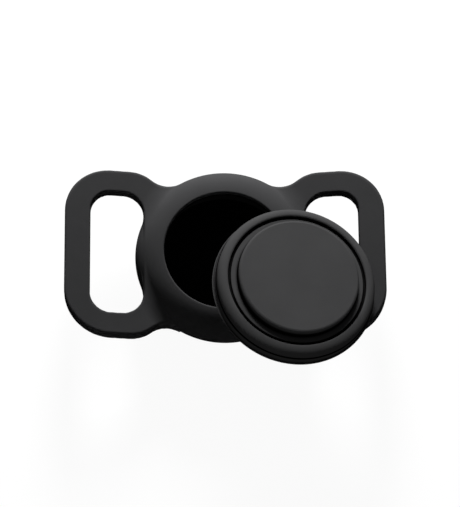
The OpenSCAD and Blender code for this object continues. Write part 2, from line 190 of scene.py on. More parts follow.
NET_STEP = 0.4  # side of a cell
NET_ROOM = 0.83  # room round the holder in the grid
TOP_ROOM = 0.9  # more room over its top
CUT_R = 15.65  # circle on the dome where the net ends and the turned pocket begins
TABLE_STEP = 0.1  # side of a table's cell
HOUSING_TABLE = (TINY, -2.05), (26, 17)  # lowest and highest radius and height
LOOP_TABLE = (TINY, TINY), (42, 25)  # lowest and highest place along and across the strap
SLOPE_STEP = 0.1  # distance to either side over which a slope is taken
LEAST_SLOPE = 0.2  # least square of the slope in a step towards the surface
ANGLE_ROUNDS, NET_ROUNDS = 8, 6  # how often the cut's angles and the net are evened out

# Places of the capsule and of the tracker in it, and the angles of their vertices

CAPSULE_PLACE = (16.8, -11.6, 24.571)
CAPSULE_LEAN = Euler((np.radians(-4.9), np.radians(8.4), 0))
CAPSULE = Matrix.Translation(CAPSULE_PLACE) @ CAPSULE_LEAN.to_matrix().to_4x4()
TAG = CAPSULE @ Matrix.Translation((0, 0, -TAG_MID_H))
TURN_STEPS = 288
ROUND = np.linspace(0, 2 * np.pi, TURN_STEPS, endpoint=False)


def make_camera():
    """Camera at the photograph's viewing angle."""
    back = Vector((np.sin(CAMERA_AZ) * np.cos(CAMERA_EL), -np.cos(CAMERA_AZ) * np.cos(CAMERA_EL),
                   np.sin(CAMERA_EL)))
    right = Vector((0, 0, 1)).cross(back).normalized()
    up = back.cross(right)
    across = np.cos(CAMERA_ROLL) * right + np.sin(CAMERA_ROLL) * up
    upward = np.cos(CAMERA_ROLL) * up - np.sin(CAMERA_ROLL) * right
    camera = bpy.data.objects.new("camera", bpy.data.cameras.new("camera"))
    camera.data.lens = CAMERA_LENS
    camera.data.sensor_width = SENSOR_W
    camera.data.clip_start, camera.data.clip_end = CLIP_START, CLIP_END
    turn = Matrix((across, upward, back)).transposed()
    camera.matrix_world = Matrix.Translation(CAMERA_TARGET + CAMERA_DISTANCE * back) @ turn.to_4x4()
    scene.collection.objects.link(camera)
    scene.camera = camera


make_camera()

# Outlines


def arc(centre, radius, a0, a1, n):
    """Points on a circle, or on an ellipse where radius is a pair, at n + 1 angles in degrees."""
    a = np.radians(np.linspace(a0, a1, n + 1))
    return np.array(centre) + np.stack([np.cos(a), np.sin(a)], 1) * np.broadcast_to(radius, 2)


def rounded(points, radii, n=5):
    """An outline's points with each inner corner rounded to its radius."""
    points = np.array(points, float)
    out = [points[:1]]
    for before, corner, after, radius in zip(points, points[1:], points[2:], radii):
        u, v = (p / np.linalg.norm(p) for p in (before - corner, after - corner))
        half = np.arccos(np.clip(u @ v, -1, 1)) / 2
        centre = corner + (u + v) / np.linalg.norm(u + v) * radius / np.sin(half)
        start = corner + u * radius / np.tan(half) - centre
        end = corner + v * radius / np.tan(half) - centre
        sweep = np.pi - 2 * half
        t = np.linspace(0, 1, n + 1)[:, None]
        out.append(centre + (np.sin((1 - t) * sweep) * start + np.sin(t * sweep) * end) / np.sin(sweep))
    out.append(points[-1:])
    return np.concatenate(out)


def touching(c1, r1, c2, r2):
    """The point at r1 from c1 and at r2 from c2, to the left of the way from c1 to c2."""
    c1, c2 = np.array(c1, float), np.array(c2, float)
    span = np.linalg.norm(c2 - c1)
    along = (r1 * r1 - r2 * r2 + span * span) / (2 * span)
    way = (c2 - c1) / span
    return c1 + along * way + np.sqrt(r1 * r1 - along * along) * np.array([-way[1], way[0]])


def dome_z(r):
    """Height of the housing's dome at a radius."""
    return WIDEST_Z + DOME_RISE * np.sqrt(1 - ((r - DOME_IN_R) / DOME_RUN) ** 2)


def housing_profile():
    """Half section of the housing without its pocket: radius and height."""
    flank = np.radians(FLANK_A)
    top = (HOUSING_R - SIDE_R + SIDE_R * np.cos(flank), WIDEST_Z - SIDE_R * np.sin(flank))
    sole_z = BASE_R * (1 - np.sin(flank))
    sole_r = top[0] - (top[1] - sole_z) * np.tan(flank) - BASE_R * np.cos(flank)
    return np.concatenate([
        [[0, 0]], arc((sole_r, BASE_R), BASE_R, -90, -FLANK_A, 16),
        arc((HOUSING_R - SIDE_R, WIDEST_Z), SIDE_R, -FLANK_A, 0, 24),
        arc((DOME_IN_R, WIDEST_Z), (DOME_RUN, DOME_RISE), 0, DOME_TOP_A, 60)[1:], [[0, TOP_Z]]])


def loop_plans():
    """Upper halves of a loop's outer outline and of its slot's outline."""
    shoulder = np.array([SHOULDER_X, LOOP_TOP - SHOULDER_R])
    waist = touching((0, 0), HOUSING_R + WAIST_R, shoulder, SHOULDER_R + WAIST_R)
    shoulder_a = np.degrees(np.arctan2(*(waist - shoulder)[::-1]))
    waist_a = np.degrees(np.arctan2(waist[1], waist[0]))
    outer = np.concatenate([
        [[END_X, 0]], arc((END_X - END_R, LOOP_TOP - END_R), END_R, 0, 90, 30),
        arc(shoulder, SHOULDER_R, 90, shoulder_a, 16),
        arc(waist, WAIST_R, shoulder_a - 180, waist_a - 180, 16)[1:],
        [[HOUSING_R * np.cos(np.radians(waist_a)), 0]]])
    corner_y = LOOP_TOP - SIDE_BAR - SLOT_R
    slot = np.concatenate([
        [[END_X - END_BAR, 0]], arc((END_X - END_BAR - SLOT_R, corner_y), SLOT_R, 0, 90, 20),
        arc((SLOT_IN_X + SLOT_R, corner_y), SLOT_R, 90, 180, 20), [[SLOT_IN_X, 0]]])
    return outer, slot


# The holder's outside as a field


def distance_table(outline, low, high):
    """Distance to an outline on a grid, below zero inside it, and the grid's lowest corner. The
    line between the outline's ends closes it for the sign, and no distance is taken to it."""
    us, vs = (np.arange(a, b + TABLE_STEP, TABLE_STEP) for a, b in zip(low, high))
    u, v = (g.ravel() for g in np.meshgrid(us, vs, indexing="ij"))
    inside = np.zeros(len(u), bool)
    closed = np.concatenate([outline, outline[:1]])
    for (u0, v0), (u1, v1) in zip(closed, closed[1:]):
        if v0 != v1:
            inside ^= ((v0 > v) != (v1 > v)) & (u < (u1 - u0) * (v - v0) / (v1 - v0) + u0)
    nearest = np.full(len(u), np.inf)
    for (u0, v0), (u1, v1) in zip(outline, outline[1:]):
        du, dv = u1 - u0, v1 - v0
        t = np.clip(((u - u0) * du + (v - v0) * dv) / (du * du + dv * dv), 0, 1)
        nearest = np.minimum(nearest, (u - u0 - t * du) ** 2 + (v - v0 - t * dv) ** 2)
    return (np.where(inside, -1, 1) * np.sqrt(nearest)).reshape(len(us), -1), low


def looked_up(table, u, v):
    """A table's value between its grid points."""
    grid, low = table
    last = np.array(grid.shape) - 1.001  # just short of the last grid point
    a = np.clip((u - low[0]) / TABLE_STEP, 0, last[0])
    b = np.clip((v - low[1]) / TABLE_STEP, 0, last[1])
    i, j = a.astype(int), b.astype(int)
    a, b = a - i, b - j
    return ((grid[i, j] * (1 - b) + grid[i, j + 1] * b) * (1 - a)
            + (grid[i + 1, j] * (1 - b) + grid[i + 1, j + 1] * b) * a)


def slope(field, p):
    """Gradient of a field at points, along a new last axis."""
    return np.stack([(field(p + SLOPE_STEP * e) - field(p - SLOPE_STEP * e)) / (2 * SLOPE_STEP)
                     for e in np.eye(3)], -1)


class HolderShape:
    """The holder's outside as a smooth field: below zero inside, zero on its surface."""

    def __init__(self):
        self.housing = distance_table(housing_profile(), *HOUSING_TABLE)
        self.outer, self.slot = (distance_table(plan, *LOOP_TABLE) for plan in loop_plans())

    def parts(self, p):
        """Distances to the housing and to the loops."""
        x, y, z = np.abs(p[:, 0]), np.abs(p[:, 1]), p[:, 2]
        housing = looked_up(self.housing, np.hypot(x, y), z)
        off = (z - WIDEST_Z - (x - LOOP_ROOT_X) * np.tan(LOOP_RISE)) * np.cos(LOOP_RISE)
        outer, slot = looked_up(self.outer, x, y), -looked_up(self.slot, x, y)
        edge_r = np.where(off > 0, np.where(slot > outer, SLOT_EDGE_R, LOOP_EDGE_R), LOOP_BACK_R)
        side = np.maximum(outer, slot) + edge_r
        up = np.abs(off) - LOOP_T / 2 + edge_r
        loops = (np.minimum(np.maximum(side, up), 0) + np.hypot(np.maximum(side, 0), np.maximum(up, 0))
                 - edge_r)
        return np.stack([housing, loops], 1)

    def value(self, p):
        """The field, with a fillet where the loops leave the housing at an angle."""
        d, g = self.parts(p), slope(self.parts, p)
        g = g / np.maximum(np.linalg.norm(g, axis=2, keepdims=True), TINY)
        angled = np.clip(1 - np.sum(g[:, 0] * g[:, 1], 1), 0, 1)
        start, end = ROOT_BLEND_X
        root = np.clip((np.abs(p[:, 0]) - start) / (end - start), 0, 1)
        reach = ROOT_BLEND * angled * root * root * (3 - 2 * root) + TINY
        near = np.maximum(reach - np.abs(d[:, 0] - d[:, 1]), 0) / reach
        return d.min(1) - near * near * reach / 4

    def gradient(self, p):
        """Gradient of the field."""
        return slope(self.value, p)

    def settled(self, p, rounds):
        """Points brought onto the surface."""
        for _ in range(rounds):
            g = self.gradient(p)
            p = p - g * (self.value(p) / np.maximum(np.sum(g * g, 1), LEAST_SLOPE))[:, None]
        return p


def surface_net(values, low):
    """Vertices and outward quads of the surface where a grid of values passes zero."""
    inside = values < 0
    sides = [n - 1 for n in values.shape]
    corners = [(i, j, k) for i in (0, 1) for j in (0, 1) for k in (0, 1)]

    def inside_at(corner):
        """1 for the cells that have this corner inside, 0 for the others."""
        return inside[tuple(slice(a, a + n) for a, n in zip(corner, sides))].astype(int)

    count = sum(inside_at(corner) for corner in corners)
    cells = np.argwhere((count > 0) & (count < 8))
    index = np.full(sides, -1)
    index[tuple(cells.T)] = np.arange(len(cells))
    # A cell's vertex is the mean of the points where its edges pass zero.
    total, hits = np.zeros((len(cells), 3)), np.zeros(len(cells))
    for a in corners:
        for axis in range(3):
            if a[axis]:
                continue
            b = tuple(1 if n == axis else a[n] for n in range(3))
            fa, fb = values[tuple((cells + a).T)], values[tuple((cells + b).T)]
            cut = (fa < 0) != (fb < 0)
            t = np.where(cut, fa / np.where(cut, fa - fb, 1), 0)
            spot = np.array(a)[None] + t[:, None] * (np.array(b) - a)[None]
            total[cut] += spot[cut]
            hits[cut] += 1
    verts = np.array(low) + NET_STEP * (cells + total / hits[:, None])
    # Each grid edge that passes zero has a quad between the four cells round it.
    quads = []
    for axis in range(3):
        ahead = np.roll(np.eye(3, dtype=int)[0], axis)
        one, two = np.roll(ahead, 1), np.roll(ahead, 2)
        end = [slice(None, -1) if n == axis else slice(None) for n in range(3)]
        nxt = [slice(1, None) if n == axis else slice(None) for n in range(3)]
        edges = np.argwhere(inside[tuple(end)] != inside[tuple(nxt)])
        leaving = inside[tuple(edges.T)]
        ring = [edges - one - two, edges - two, edges, edges - one]
        quad = np.stack([index[tuple(r.T)] for r in ring], 1)
        quads.append(np.where(leaving[:, None], quad, quad[:, ::-1]))
    return verts, np.concatenate(quads)


# Meshes


def new_piece(name, verts, faces, normals, place=Matrix.Identity(4)):
    """A smooth-shaded mesh object at the origin from points in millimetres, with its own normals."""
    turn = np.array(place)[:3, :3]
    points = (np.asarray(verts) @ turn.T + np.array(place)[:3, 3]) * MM
    normals = np.asarray(normals) @ turn.T
    normals = normals / np.maximum(np.linalg.norm(normals, axis=1, keepdims=True), TINY)
    mesh = bpy.data.meshes.new(name)
    mesh.from_pydata(points.tolist(), [], [list(map(int, f)) for f in faces])
    mesh.validate()
    mesh.shade_smooth()
    mesh.normals_split_custom_set_from_vertices(normals.tolist())
    obj = bpy.data.objects.new(name, mesh)
    scene.collection.objects.link(obj)
    return obj


def profile_normals(profile, closed):
    """Normals of a clockwise section, where long stretches count for more than short ones."""
    step = np.roll(profile, -1, 0) - profile if closed else np.diff(profile, axis=0)
    side = np.stack([-step[:, 1], step[:, 0]], 1)
    if closed:
        return side + np.roll(side, 1, 0)
    return np.concatenate([side[:1], side[:-1] + side[1:], side[-1:]])


def turned_rows(profile, angles, closed=False):
    """Vertices, outward faces and normals of a section turned round the axis. The section runs
    clockwise; it starts and ends on the axis, or closes on itself."""
    normals = profile_normals(profile, closed)
    c, s = np.cos(angles), np.sin(angles)
    verts, norms, rows = [], [], []
    for (r, z), (nr, nz) in zip(profile, normals):
        if r < TINY:
            rows.append([len(verts)] * len(angles))
            verts.append((0, 0, z))
            norms.append((0, 0, np.sign(nz) or 1))
            continue
        rows.append(list(range(len(verts), len(verts) + len(angles))))
        verts += list(zip(r * c, r * s, np.full_like(c, z)))
        norms += list(zip(nr * c, nr * s, np.full_like(c, nz)))
    pairs = zip(rows, rows[1:] + rows[:1]) if closed else zip(rows, rows[1:])
    faces = []
    for one, two in pairs:
        for i in range(len(angles)):
            j = (i + 1) % len(angles)
            face = [one[i], two[i], two[j], one[j]]
            faces.append([v for n, v in enumerate(face) if v != face[n - 1]])
    return verts, faces, norms


# Holder


def outer_net(shape):
    """Vertices and quads of the holder's outside, without the dome's middle."""
    low = np.array([-END_X, -HOUSING_R, 0]) - NET_ROOM
    high = np.array([END_X, HOUSING_R, TOP_Z + TOP_ROOM]) + NET_ROOM
    count = np.ceil((high - low) / NET_STEP).astype(int) + 1
    grid = [low[n] + NET_STEP * np.arange(count[n]) for n in range(3)]
    points = np.stack(np.meshgrid(*grid, indexing="ij"), 3).reshape(-1, 3)
    values = shape.parts(points).min(1)
    close = values < ROOT_BLEND
    values[close] = shape.value(points[close])
    verts, quads = surface_net(values.reshape(count), low)
    verts = shape.settled(verts, 2)
    hole = (np.hypot(verts[:, 0], verts[:, 1]) < CUT_R) & (verts[:, 2] > WIDEST_Z)
    quads = quads[~hole[quads].any(1)]
    used = np.unique(quads)
    renumber = np.full(len(verts), -1)
    renumber[used] = np.arange(len(used))
    return verts[used], renumber[quads]


def sides_of(quads):
    """Directed sides of quads."""
    return np.concatenate([quads[:, [n, (n + 1) % 4]] for n in range(4)])


def rim_of(quads):
    """Vertices round the one hole in a net, in order."""
    known = {(a, b) for a, b in sides_of(quads).tolist()}
    ahead = {a: b for a, b in known if (b, a) not in known}
    loop = [next(iter(ahead))]
    while ahead[loop[-1]] != loop[0]:
        loop.append(ahead[loop[-1]])
    if len(loop) != len(ahead):
        raise ValueError("the rim of the opening isn't one loop")
    return np.array(loop)


def even_angles(spots):
    """Evened angles of spots in order round the axis, and 1 or -1 for the way they run."""
    angles = np.unwrap(np.arctan2(spots[:, 1], spots[:, 0]))
    sense = np.sign(angles[-1] - angles[0])
    for _ in range(ANGLE_ROUNDS):
        before, after = np.roll(angles, 1), np.roll(angles, -1)
        before[0] -= sense * 2 * np.pi
        after[-1] += sense * 2 * np.pi
        angles = 0.5 * angles + 0.25 * (before + after)
    return angles, sense


def even_net(shape, verts, quads, loop):
    """A net's vertices evened out along the surface, with the loop at its rim held."""
    rim = verts[loop]
    sides = sides_of(quads)
    one, two = np.unique(np.concatenate([sides, sides[:, ::-1]]), axis=0).T
    hits = np.bincount(one, minlength=len(verts))
    for _ in range(NET_ROUNDS):
        total = np.stack([np.bincount(one, verts[two, n], len(verts)) for n in range(3)], 1)
        g = shape.gradient(verts)
        g /= np.maximum(np.linalg.norm(g, axis=1, keepdims=True), TINY)
        move = 0.5 * (total / np.maximum(hits, 1)[:, None] - verts)
        move -= g * np.sum(move * g, 1)[:, None]
        move[loop] = 0
        verts = shape.settled(verts + move, 1)
        verts[loop] = rim
    return verts


def pocket_rows(angles, sense):
    """The mouth, the lip, and the pocket below them, from the cut in the dome to the floor."""
    mouth_r = OPENING_R + MOUTH_R
    mouth_z = dome_z(mouth_r)
    bead_r, bead_z = RING_IN_R - POCKET_FIT, RING_Z - GROOVE_D + POCKET_FIT
    round_r, top_z = RING_OUT_R - RING_ROUND, RING_Z + POCKET_FIT
    side_r, low_z = RIM_R + POCKET_FIT, RING_Z - RIM_LOW_H
    lip = rounded([(OPENING_R, mouth_z - MOUTH_R), (OPENING_R, bead_z), (bead_r, bead_z),
                   (bead_r, top_z), (round_r, top_z)], LIP_ROUNDS)
    floor = arc((BACK_FLAT_R, low_z), (BACK_R + POCKET_FIT - BACK_FLAT_R,
                                       BACK_H - RIM_LOW_H + POCKET_FIT), 0, -90, 24)
    wall = rounded([(RING_OUT_R + POCKET_FIT, RING_Z - RING_ROUND), (side_r, RING_Z - PARTING_H),
                    (side_r, low_z - POCKET_FIT), floor[1]], POCKET_WALL_ROUNDS)
    floor_z = floor[-1][1]
    profile = np.concatenate([
        [[CUT_R, dome_z(CUT_R)], [(CUT_R + mouth_r) / 2, (dome_z(CUT_R) + mouth_z) / 2]],
        arc((mouth_r, mouth_z - MOUTH_R), MOUTH_R, 90, 180, 8), lip[1:-1],
        arc((round_r, RING_Z - RING_ROUND), RING_ROUND + POCKET_FIT, 90, 0, 16),
        wall[1:-1], floor[1:], [[POCKET_MID_R, floor_z], [0, floor_z]]])
    verts, faces, normals = turned_rows(profile, angles)
    faces = faces if sense < 0 else [f[::-1] for f in faces]
    return np.array(verts), faces, -np.array(normals)


def holder_mesh():
    """The holder: its outside from the field, and its pocket turned through the rim's angles."""
    shape = HolderShape()
    verts, quads = outer_net(shape)
    loop = rim_of(quads)
    angles, sense = even_angles(verts[loop])
    verts[loop] = np.stack([CUT_R * np.cos(angles), CUT_R * np.sin(angles),
                            np.full(len(loop), dome_z(CUT_R))], 1)
    verts = even_net(shape, verts, quads, loop)
    pocket, faces, pocket_normals = pocket_rows(angles, sense)
    # The pocket's first row is the net's rim.
    rim = len(loop)
    numbers = np.concatenate([loop, len(verts) + np.arange(len(pocket) - rim)])
    faces = [numbers[face].tolist() for face in faces]
    normals = np.concatenate([shape.gradient(verts), pocket_normals[rim:]])
    return new_piece("holder", np.concatenate([verts, pocket[rim:]]), quads.tolist() + faces, normals)


# Capsule


def turned_piece(name, profile, place=CAPSULE, closed=False):
    """A turned piece of the capsule or the tracker, in its place."""
    verts, faces, normals = turned_rows(np.array(profile, float), ROUND, closed)
    return new_piece(name, verts, faces, normals, place)


def front_cover():
    """The capsule's front: boss, groove, rounded ring, spigot and the rib under the boss."""
    trench_r, rib_in_r = RING_IN_R - TRENCH_W, RIB_R - RIB_T
    top = arc((BOSS_R - BOSS_EDGE_R, BOSS_H - BOSS_EDGE_R), BOSS_EDGE_R, 90, 0, 8)
    inner = arc((RING_IN_R + RING_EDGE_R, -RING_EDGE_R), RING_EDGE_R, 180, 90, 6)
    outer = arc((RING_OUT_R - RING_ROUND, -RING_ROUND), RING_ROUND, 90, 0, 20)
    groove = rounded([top[-1], (BOSS_R, -GROOVE_D), (trench_r, -GROOVE_D), (trench_r, -TRENCH_D),
                      (RING_IN_R, -TRENCH_D), inner[0]], GROOVE_ROUNDS)
    inside = rounded([outer[-1], (RING_OUT_R, -PARTING_H), (SPIGOT_R, -PARTING_H), (SPIGOT_R, -SPIGOT_H),
                      (CAVITY_R, -SPIGOT_H), (CAVITY_R, -GROOVE_LOW_H), (BOSS_IN_R, -GROOVE_LOW_H),
                      (BOSS_IN_R, CEILING_H), (RIB_R, CEILING_H), (RIB_R, -RIB_LOW_H),
                      (rib_in_r, -RIB_LOW_H), (rib_in_r, CEILING_H), (0, CEILING_H)],
                     COVER_INSIDE_ROUNDS, 4)
    return turned_piece("capsule_front", np.concatenate([
        [[0, BOSS_H], [BOSS_MID_R, BOSS_H]], top, groove[1:-1], inner, outer, inside[1:]]))


def rear_shell():
    """The capsule's back: rounded dish, thin rim, side band, collar and the room for the tracker."""
    room_in_r, room_h, band_top = BACK_FLAT_R - BACK_WALL, LEDGE_H + TAG_FIT, -PARTING_H - PARTING_GAP
    dish = arc((BACK_FLAT_R, -RIM_LOW_H), (BACK_R - BACK_FLAT_R, BACK_H - RIM_LOW_H), 0, -90, 32)
    rim = arc((RIM_R - RIM_T / 2, -RIM_H), RIM_T / 2, 90, -90, 8)
    room = arc((room_in_r, -room_h), (CAVITY_R - room_in_r, FLOOR_H - room_h), 0, -90, 32)
    band = rounded([(CAVITY_R, -LEDGE_H), (COLLAR_R, -LEDGE_H), (COLLAR_R, band_top),
                    (BAND_R, band_top), (BAND_R, -RIM_H + RIM_T / 2), rim[0]], BAND_ROUNDS, 4)
    return turned_piece("capsule_rear", np.concatenate([
        [[0, -FLOOR_H], [BACK_MID_R, -FLOOR_H]], room[::-1][:-1], band, rim[1:], dish,
        [[BACK_MID_R, -BACK_H], [0, -BACK_H]]]))


def seal_ring():
    """The gasket between the capsule's two halves."""
    in_r, mid_r = CAVITY_R + SEAL_FIT, (CAVITY_R + SPIGOT_R) / 2
    low = -LEDGE_H + SEAL_FIT
    high = low + SEAL_T
    profile = rounded([(mid_r, high), (SPIGOT_R, high), (SPIGOT_R, low), (in_r, low), (in_r, high),
                       (mid_r, high)], SEAL_ROUNDS, 4)
    return turned_piece("capsule_seal", profile[:-1], closed=True)


# Tracker, with z = 0 at its widest circle


def pebble(across, rise, a0, a1, n):
    """Points on the tracker's rounded side, above the widest circle where the angle is positive."""
    a = np.radians(np.linspace(a0, a1, n + 1))
    return np.stack([across * np.cos(a) ** (2 / PEBBLE),
                     np.sign(np.sin(a)) * rise * np.abs(np.sin(a)) ** (2 / PEBBLE)], 1)


def pebble_angle(r, across):
    """Angle at which the rounded side has this radius."""
    return np.degrees(np.arccos((r / across) ** (PEBBLE / 2)))


def pebble_back(r):
    """Height of the tracker's rounded back at a radius."""
    return -TAG_LOW_T * (1 - (r / TAG_R) ** PEBBLE) ** (1 / PEBBLE)


def tag_case():
    """The tracker's plastic shell, open at the back for the battery cover."""
    mouth_r, in_r = COVER_R + TAG_FIT, TAG_R - TAG_WALL
    low, in_low = -pebble_angle(mouth_r, TAG_R), -pebble_angle(mouth_r, in_r)
    front = pebble(TAG_R, TAG_HIGH_T, 90, 0, 48)
    front[0, 0] = 0
    below = pebble(TAG_R, TAG_LOW_T, low / 24, low, 23)
    inside = pebble(in_r, TAG_LOW_T - TAG_WALL, in_low, in_low / 16, 15)
    roof = pebble(in_r, TAG_HIGH_T - TAG_WALL, 0, 90, 24)
    roof[-1, 0] = 0
    mouth = rounded([below[-2], below[-1], inside[0], inside[1]], CASE_MOUTH_ROUNDS, 3)
    return turned_piece("tracker_case", np.concatenate([front, below[:-2], mouth, inside[2:], roof]), TAG)


def battery_cover():
    """The steel cover on the tracker's back, with its skirt and a slight step inside its edge."""
    in_r, bend_r = COVER_R - COVER_T, COVER_R - COVER_BEND
    # Circles closer together towards the edge
    r = np.linspace(0, 1, 40)[:, None] ** 0.8 * bend_r
    r_in = r[::-1] * (in_r - COVER_BEND) / bend_r
    low = np.concatenate([r, pebble_back(r)], 1)
    high = np.concatenate([r_in, COVER_T + pebble_back(r_in)], 1)
    skirt_z = low[-1, 1] + COVER_T + SKIRT_H
    skirt = rounded([low[-1], (COVER_R, low[-1, 1] + BEND_OUT_RISE), (COVER_R, skirt_z), (in_r, skirt_z),
                     (in_r, high[0, 1] + BEND_IN_RISE), high[0]], SKIRT_ROUNDS, 4)
    return turned_piece("tracker_battery_cover", np.concatenate([low, skirt[1:-1], high])[::-1], TAG)


PIECES = [(holder_mesh, "holder", "holder_body", "silicone"),
          (front_cover, "cover", "front_cover", "capsule_plastic"),
          (rear_shell, "capsule", "rear_shell", "capsule_plastic"),
          (seal_ring, "capsule", "seal_ring", "seal_rubber"),
          (tag_case, "tag", "tag_case", "white_plastic"),
          (battery_cover, "tag_cover", "tag_battery_cover", "steel")]
pieces = {}
for make, body, node, slot in PIECES:
    piece = make()
    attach(piece, body)
    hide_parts(node)
    pieces[node] = piece

# Materials

# Painted shade: the shares of the colour that are left in the pocket and in the capsule's gaps
POCKET_SHADE, GAP_SHADE = 0.1, 0.04
# The pocket's painted shade ends at this radius and between these heights, and fades out over the next
# two.
POCKET_SHADE_R, POCKET_SHADE_Z = 16.6, (1.6, 12.4)
POCKET_FADE_R, POCKET_FADE_Z = 0.2, 0.5
# Painted shade along the parting line: how far it runs past the gap on each side, and how far it fades
PARTING_SHADE_OVER, PARTING_SHADE_FADE = 0.1, 0.08
# Painted shade at the foot of the boss: half its width, how far it fades, and the height up to which it
# is full
FOOT_SHADE_HALF_W, FOOT_SHADE_FADE, FOOT_SHADE_H = 0.1, 0.15, 0.6
# Reach of the painted shade in narrow grooves, and the openness at which it begins and is full
GROOVE_SHADE_REACH, GROOVE_SHADE_START, GROOVE_SHADE_FULL = 1.0, 0.82, 0.55
# Patches of tone and of gloss on plain finishes, as multiples of the grain, and the gloss's spread
TONE_PATCH, GLOSS_PATCH = 8, 4
GLOSS_SPREAD, LEAST_ROUGHNESS = 0.06, 0.02


class Shader:
    """A node material built round one Principled shader."""

    def __init__(self, name, color, roughness, **sockets):
        self.material = bpy.data.materials.new(name)
        self.material.use_nodes = True
        self.tree = self.material.node_tree
        self.principled = self.tree.nodes["Principled BSDF"]
        self.set("Base Color", (*color, 1))
        self.set("Roughness", roughness)
        for socket, value in sockets.items():
            self.set(socket.replace("_", " "), value)
        self.coords = self.tree.nodes.new("ShaderNodeTexCoord").outputs["Object"]

    def set(self, socket, value):
        """Set a constant of the shader."""
        self.principled.inputs[socket].default_value = value

    def fill(self, socket, value):
        """Link a value to a socket, or set the socket to it."""
        if isinstance(value, bpy.types.NodeSocket):
            self.tree.links.new(value, socket)
        else:
            socket.default_value = value

    def node(self, kind, settings=(), **inputs):
        """A new node with its settings and its inputs."""
        node = self.tree.nodes.new(kind)
        for name, value in dict(settings).items():
            setattr(node, name, value)
        for name, value in inputs.items():
            self.fill(node.inputs[name.replace("_", " ")], value)
        return node

    def noise(self, size_mm, detail):
        """Soft noise whose features are about this size."""
        made = self.node("ShaderNodeTexNoise", Vector=self.coords, Scale=1 / (size_mm * MM),
                         Detail=detail, Roughness=0.55)
        return made.outputs["Fac"]

    def ramp(self, value, low, high, start=0.3, end=0.7):
        """A value spread from low to high between two levels of another."""
        made = self.node("ShaderNodeMapRange", Value=value, From_Min=start, From_Max=end, To_Min=low,
                         To_Max=high)
        return made.outputs["Result"]

    def math(self, operation, one, two):
        """The result of one operation on two values."""
        made = self.node("ShaderNodeMath", {"operation": operation})
        for socket, value in zip(made.inputs, (one, two)):
            self.fill(socket, value)
        return made.outputs[0]

    def vary(self, socket, value, low, high):
        """Drive a number of the shader between low and high by another value."""
        self.tree.links.new(self.ramp(value, low, high), self.principled.inputs[socket])

    def tint(self, value, dark, light):
        """Base colour between two colours by a value."""
        made = self.node("ShaderNodeMix", {"data_type": "RGBA"}, Factor=self.ramp(value, 0, 1))
        made.inputs[6].default_value, made.inputs[7].default_value = (*dark, 1), (*light, 1)
        self.tree.links.new(made.outputs[2], self.principled.inputs["Base Color"])

    def paint_shade(self, share, factor):
        """Paint shade: multiply the base colour by a factor where a share is one."""
        color = self.principled.inputs["Base Color"]
        made = self.node("ShaderNodeMix", {"data_type": "RGBA", "blend_type": "MULTIPLY"}, Factor=share)
        self.tree.links.new(color.links[0].from_socket, made.inputs[6])
        made.inputs[7].default_value = (factor, factor, factor, 1)
        self.tree.links.new(made.outputs[2], color)

    def groove_shade_share(self):
        """Where shade is painted: one in narrow grooves and inner corners, zero on open faces."""
        made = self.node("ShaderNodeAmbientOcclusion", {"samples": 8, "only_local": True},
                         Distance=GROOVE_SHADE_REACH * MM)
        return self.ramp(made.outputs["AO"], 0, 1, GROOVE_SHADE_START, GROOVE_SHADE_FULL)

    def band_share(self, value, low, high, fade):
        """One between two lengths in millimetres, fading to zero beyond them."""
        up = self.ramp(value, 0, 1, (low - fade) * MM, low * MM)
        return self.math("MULTIPLY", up, self.ramp(value, 1, 0, high * MM, (high + fade) * MM))

    def axis_and_height(self, place):
        """Distance of a place from the upright axis, and its height."""
        flat = self.node("ShaderNodeVectorMath", {"operation": "MULTIPLY"}, Vector=place)
        flat.inputs[1].default_value = (1, 1, 0)
        radius = self.node("ShaderNodeVectorMath", {"operation": "LENGTH"}, Vector=flat.outputs[0])
        height = self.node("ShaderNodeSeparateXYZ", Vector=place).outputs["Z"]
        return radius.outputs["Value"], height

    def about_capsule(self):
        """Distance from the capsule's axis and height over its ring."""
        to_axis = CAPSULE.inverted()
        place = self.node("ShaderNodeMapping", {"vector_type": "POINT"}, Vector=self.coords)
        place.inputs["Rotation"].default_value = to_axis.to_euler()
        place.inputs["Location"].default_value = to_axis.translation * MM
        return self.axis_and_height(place.outputs["Vector"])

    def pocket_shade_share(self):
        """Where shade is painted: one inside the holder's pocket, zero on its outside."""
        radius, height = self.axis_and_height(self.coords)
        inside = self.ramp(radius, 1, 0, POCKET_SHADE_R * MM, (POCKET_SHADE_R + POCKET_FADE_R) * MM)
        return self.math("MULTIPLY", inside, self.band_share(height, *POCKET_SHADE_Z, POCKET_FADE_Z))

    def bump(self, *layers):
        """Surface relief from pairs of value and height in millimetres."""
        last = None
        for value, height in layers:
            made = self.node("ShaderNodeBump", Height=value, Strength=1.0, Distance=height * MM)
            if last:
                self.tree.links.new(last, made.inputs["Normal"])
            last = made.outputs["Normal"]
        self.tree.links.new(last, self.principled.inputs["Normal"])


def silicone():
    """Matte black silicone with soft clouds of tone and a fine grain, with painted shade in the pocket.
    """
    m = Shader("matte_silicone", (0.037, 0.037, 0.038), 0.55, Specular_IOR_Level=0.0, IOR=1.41)
    m.tint(m.noise(9, 3), (0.035, 0.035, 0.036), (0.039, 0.039, 0.04))
    # Painted shade darkens the inside of the pocket.
    m.paint_shade(m.pocket_shade_share(), POCKET_SHADE)
    m.vary("Roughness", m.noise(3.5, 4), 0.5, 0.6)
    m.bump((m.noise(0.22, 3), 0.012), (m.noise(0.7, 2), 0.01))
    return m.material


